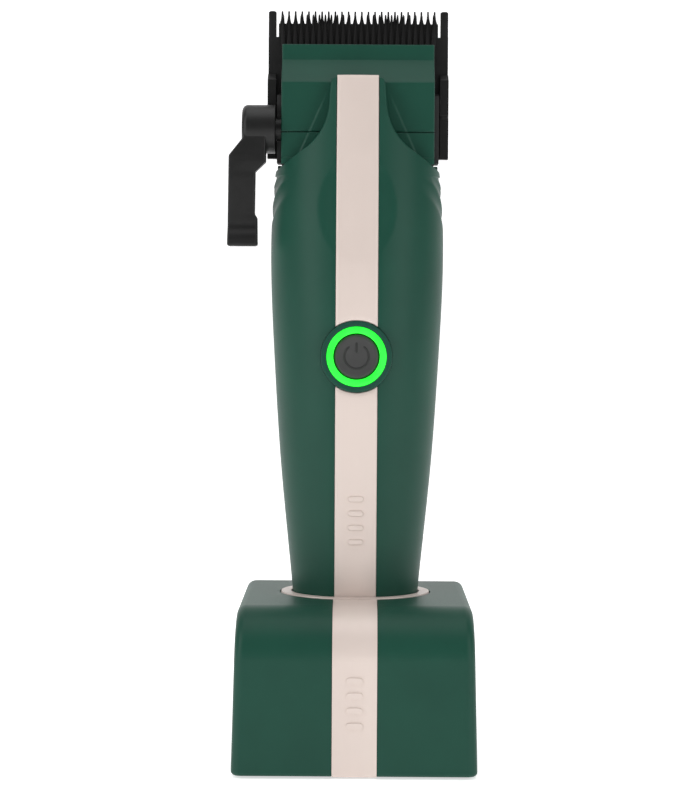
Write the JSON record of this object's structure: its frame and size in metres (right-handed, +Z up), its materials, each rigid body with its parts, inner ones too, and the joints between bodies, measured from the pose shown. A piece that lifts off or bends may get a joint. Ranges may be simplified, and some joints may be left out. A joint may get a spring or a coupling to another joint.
{
  "type": "hair clipper",
  "caption": "Cordless hair clipper with taper lever, ringed power button and inlaid stripe, standing in a weighted charging stand.",
  "frame": {"origin": "on the table, under the clipper's long axis, in the plane of the stand's feet", "axes": "+Z up along the clipper's long axis, -Y towards the side with the stripe and the button, +X away from the lever"},
  "size_m": [0.0622, 0.0631, 0.1885],
  "materials": {
    "shell_green": "satin lacquered plastic",
    "stripe_champagne": "satin champagne anodised",
    "black_plastic": "matte",
    "black_steel": "black diamond-like coating, satin",
    "inner_plastic": "moulded",
    "button_grey": "soft touch",
    "lamp_green": "lit light guide",
    "steel": "brushed",
    "cast_weight": "as cast",
    "gold_contact": "plated",
    "circuit_board": "solder mask",
    "foot_rubber": "matte",
    "cell_wrap": "shrink wrap",
    "foam": "foam"
  },
  "bodies": {
    "stand": {"stand_shell": "shell_green", "stand_stripe": "stripe_champagne", "socket_ring": "stripe_champagne", "socket_cup": "black_plastic", "stand_bottom_cover": "black_plastic", "stand_feet": "foot_rubber", "stand_screws": "steel", "ballast_plate": "cast_weight", "stand_circuit_board": "circuit_board", "board_pillars": "inner_plastic", "pin_barrels": "gold_contact", "charging_inlet": "steel", "inlet_support": "inner_plastic"},
    "pin_left": {"charge_pin_left": "gold_contact"},
    "pin_right": {"charge_pin_right": "gold_contact"},
    "clipper": {"front_shell": "shell_green", "rear_shell": "shell_green", "housing_screws": "black_steel", "stripe_upper": "stripe_champagne", "stripe_lower": "stripe_champagne", "button_bezel": "shell_green", "led_ring": "lamp_green", "end_cap": "black_plastic", "charge_contacts": "gold_contact", "battery_cell": "cell_wrap", "inner_chassis": "inner_plastic", "main_circuit_board": "circuit_board", "tact_switch": "inner_plastic", "board_spacers": "foam", "motor_can": "steel", "head_lid": "shell_green", "head_collar": "shell_green", "head_frame": "black_plastic"},
    "button": {"power_button": "button_grey"},
    "rotor": {"motor_rotor": "steel", "eccentric_crank": "inner_plastic"},
    "cutter": {"moving_cutter": "black_steel", "cutter_yoke": "inner_plastic"},
    "blade_slide": {"fixed_blade": "black_steel", "blade_screws": "black_steel", "blade_carriage": "black_steel"},
    "lever": {"taper_lever": "black_steel", "lever_cam": "black_steel"}
  },
  "joints": [
    {"name": "clipper_lift", "type": "slide", "parent": "stand", "child": "clipper", "axis": [0, 0, 1], "range_m": [0, 0.045]},
    {"name": "pin_left_press", "type": "slide", "parent": "stand", "child": "pin_left", "axis": [0, 0, 1], "range_m": [-0.0006, 0], "stiffness_N_per_m": 300, "springref_m": 0.0006},
    {"name": "pin_right_press", "type": "slide", "parent": "stand", "child": "pin_right", "axis": [0, 0, 1], "range_m": [-0.0006, 0], "stiffness_N_per_m": 300, "springref_m": 0.0006},
    {"name": "power_button_press", "type": "slide", "parent": "clipper", "child": "button", "axis": [0, 1, 0], "range_m": [0, 0.0006], "stiffness_N_per_m": 1500, "springref_m": -0.0003},
    {"name": "motor_spin", "type": "hinge", "parent": "clipper", "child": "rotor", "pos_m": [0, 0, 0.12], "axis": [0, 0, 1], "continuous": true},
    {"name": "cutter_stroke", "type": "slide", "parent": "clipper", "child": "cutter", "axis": [1, 0, 0], "range_m": [-0.001, 0.001]},
    {"name": "taper_lever_turn", "type": "hinge", "parent": "clipper", "child": "lever", "pos_m": [-0.0207, -0.0026, 0.1575], "axis": [1, 0, 0], "range_deg": [0, 60]},
    {"name": "fixed_blade_slide", "type": "slide", "parent": "clipper", "child": "blade_slide", "axis": [0, 0, 1], "range_m": [0, 0.0016]}
  ],
  "couplings": [
    {"joint": "taper_lever_turn", "follows": "fixed_blade_slide", "rad_per_m": 654.49}
  ]
}
